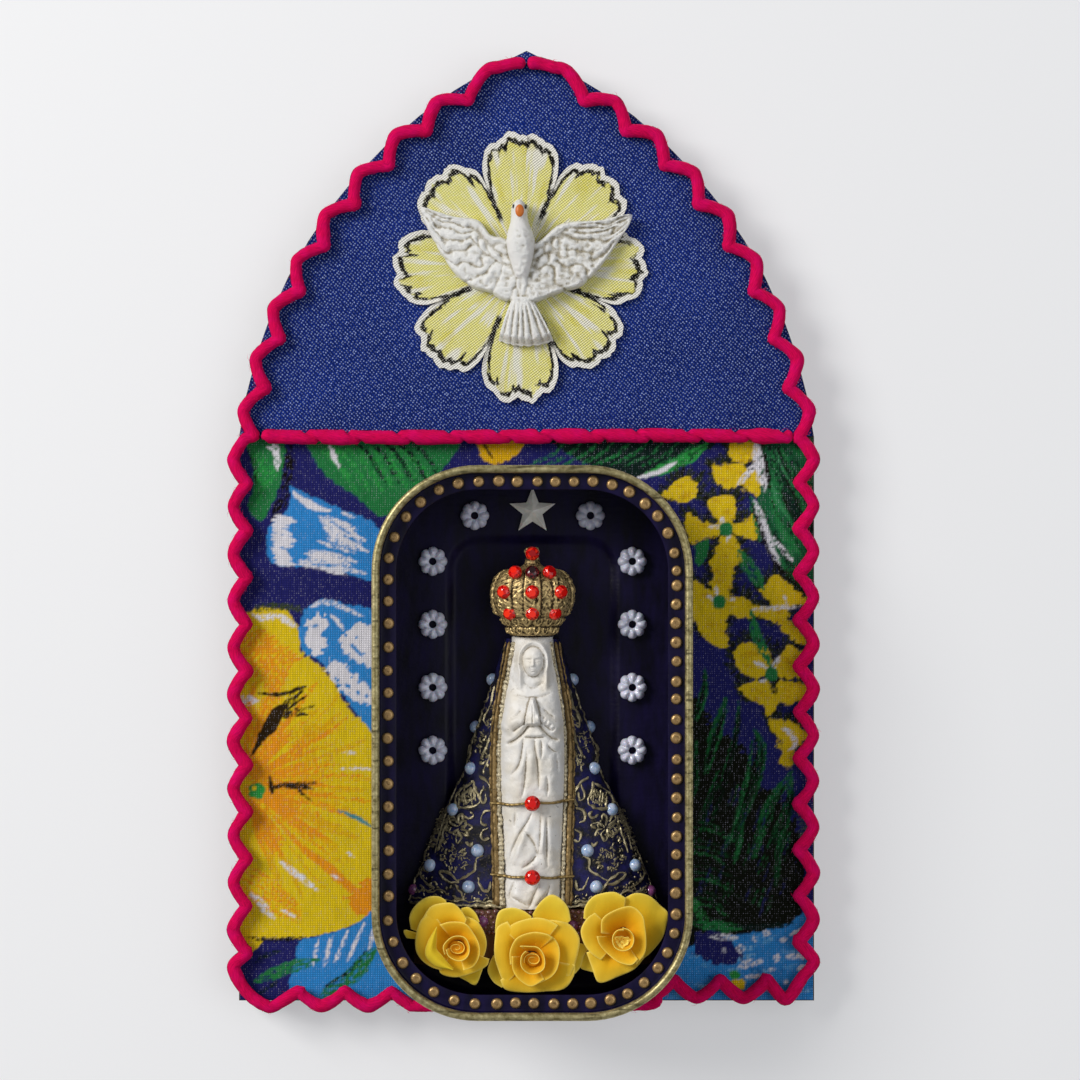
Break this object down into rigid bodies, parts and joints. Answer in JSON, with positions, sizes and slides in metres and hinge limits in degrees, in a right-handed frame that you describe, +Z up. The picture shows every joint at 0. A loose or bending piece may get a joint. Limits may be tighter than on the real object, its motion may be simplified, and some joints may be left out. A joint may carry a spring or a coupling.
{
  "type": "tin chapel shrine",
  "caption": "Wall-hung folk shrine: a chapel-shaped, cloth-covered panel edged with yarn, with a cast dove and an opened fish tin that houses a crowned praying figure.",
  "frame": {"origin": "middle of the back face of the felt lining, half way up the panel, on the wall", "axes": "+Z up the panel to its apex, +Y into the wall, so the front faces -Y, and +X to the right seen from the front"},
  "size_m": [0.1168, 0.0304, 0.19],
  "materials": {
    "felt": "charcoal wool felt",
    "board": "raw fibreboard with dark cut edges",
    "denim": "indigo denim twill",
    "print": "plain-weave cotton with a large floral print",
    "yarn": "thick felted wool yarn",
    "flower": "cut-out printed cotton",
    "dove": "cast resin under rubbed silver-white paint",
    "tin": "dark violet-blue paint inside",
    "lid": "worn gold paint on the rim, dark ring with gold dots",
    "star": "frosted grey acrylic",
    "pearl": "pearly plastic",
    "gown": "cast resin under white paint",
    "mantle": "cast resin under dark blue paint with gold relief",
    "gilt": "antique gold paint",
    "stone": "faceted red acrylic",
    "opal": "milky blue plastic",
    "rose": "yellow mulberry paper",
    "brass": "plated strap",
    "steel": "bright wire"
  },
  "bodies": {
    "shrine": {"felt_lining": "felt", "backing_board": "board", "denim_panel": "denim", "printed_panel": "print", "edge_yarn": "yarn", "divider_yarn": "yarn", "flower_applique": "flower", "dove": "dove", "tin_body": "tin", "tin_lid_ring": "lid", "star_bead": "star", "gown_figure": "gown", "mantle": "mantle", "pedestal": "gilt", "crown": "gilt", "hanger_strap": "brass", "hanger_screw": "steel", "flower_bead_01": "pearl", "flower_bead_02": "pearl", "flower_bead_03": "pearl", "flower_bead_04": "pearl", "flower_bead_05": "pearl", "flower_bead_06": "pearl", "flower_bead_07": "pearl", "flower_bead_08": "pearl", "flower_bead_09": "pearl", "flower_bead_10": "pearl", "crown_stone_01": "stone", "crown_stone_02": "stone", "crown_stone_03": "stone", "crown_stone_04": "stone", "crown_stone_05": "stone", "crown_stone_06": "stone", "crown_stone_07": "stone", "crown_stone_08": "stone", "crown_stone_09": "stone", "crown_stone_10": "stone", "clasp_stone_upper": "stone", "clasp_stone_lower": "stone", "clasp_bar_upper": "gilt", "clasp_bar_lower": "gilt", "mantle_bead_01": "opal", "mantle_bead_02": "opal", "mantle_bead_03": "opal", "mantle_bead_04": "opal", "mantle_bead_05": "opal", "mantle_bead_06": "opal", "mantle_bead_07": "opal", "mantle_bead_08": "opal", "mantle_bead_09": "opal", "mantle_bead_10": "opal", "mantle_bead_11": "opal", "mantle_bead_12": "opal", "mantle_bead_13": "opal", "mantle_bead_14": "opal", "rose_left": "rose", "rose_middle": "rose", "rose_right": "rose"},
    "hanger_ring": {"hanger_ring": "steel"}
  },
  "joints": [
    {"name": "hanger_swing", "type": "hinge", "parent": "shrine", "child": "hanger_ring", "pos_m": [0, -0.00105, 0.05555], "axis": [-1, 0, 0], "range_deg": [0, 165]}
  ]
}
